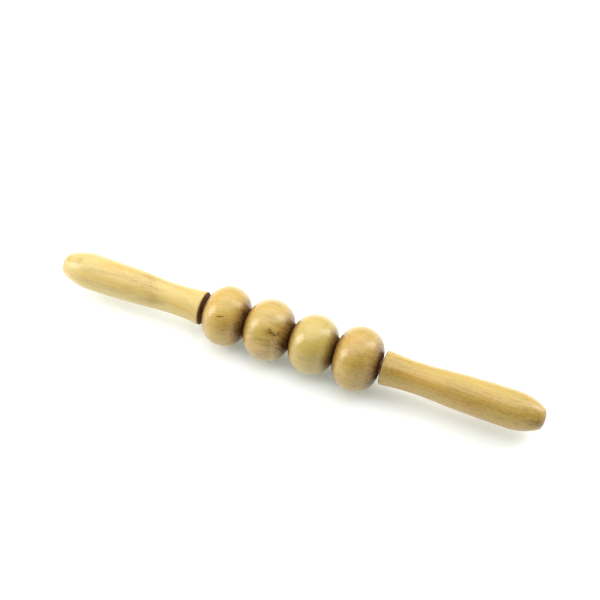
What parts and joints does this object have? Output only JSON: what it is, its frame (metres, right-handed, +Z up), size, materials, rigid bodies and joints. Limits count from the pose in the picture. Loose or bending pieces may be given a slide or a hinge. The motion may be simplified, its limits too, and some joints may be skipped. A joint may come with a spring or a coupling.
{
  "type": "massage roller",
  "caption": "Hand-held wooden massage roller: turned handles joined by a dowel, with round wooden beads between them that spin freely.",
  "frame": {"origin": "midway between the handles' inner faces, under the dowel, level with the underside of the largest bead", "axes": "+X along the dowel towards the right handle, +Z up, away from the surface that the roller lies on"},
  "size_m": [0.3288, 0.042, 0.042],
  "materials": {
    "pale_wood": "satin clear lacquer",
    "warm_wood": "satin clear lacquer",
    "dowel_wood": "bare"
  },
  "bodies": {
    "stick": {"left_handle": "pale_wood", "right_handle": "warm_wood", "axle": "dowel_wood"},
    "bead_1": {"bead_1": "pale_wood"},
    "bead_2": {"bead_2": "pale_wood"},
    "bead_3": {"bead_3": "pale_wood"},
    "bead_4": {"bead_4": "warm_wood"}
  },
  "joints": [
    {"name": "bead_1_spin", "type": "hinge", "parent": "stick", "child": "bead_1", "pos_m": [-0.0452, 0, 0.021], "axis": [1, 0, 0], "continuous": true},
    {"name": "bead_2_spin", "type": "hinge", "parent": "stick", "child": "bead_2", "pos_m": [-0.0156, 0, 0.021], "axis": [1, 0, 0], "continuous": true},
    {"name": "bead_3_spin", "type": "hinge", "parent": "stick", "child": "bead_3", "pos_m": [0.0149, 0, 0.021], "axis": [1, 0, 0], "continuous": true},
    {"name": "bead_4_spin", "type": "hinge", "parent": "stick", "child": "bead_4", "pos_m": [0.0448, 0, 0.021], "axis": [1, 0, 0], "continuous": true}
  ]
}
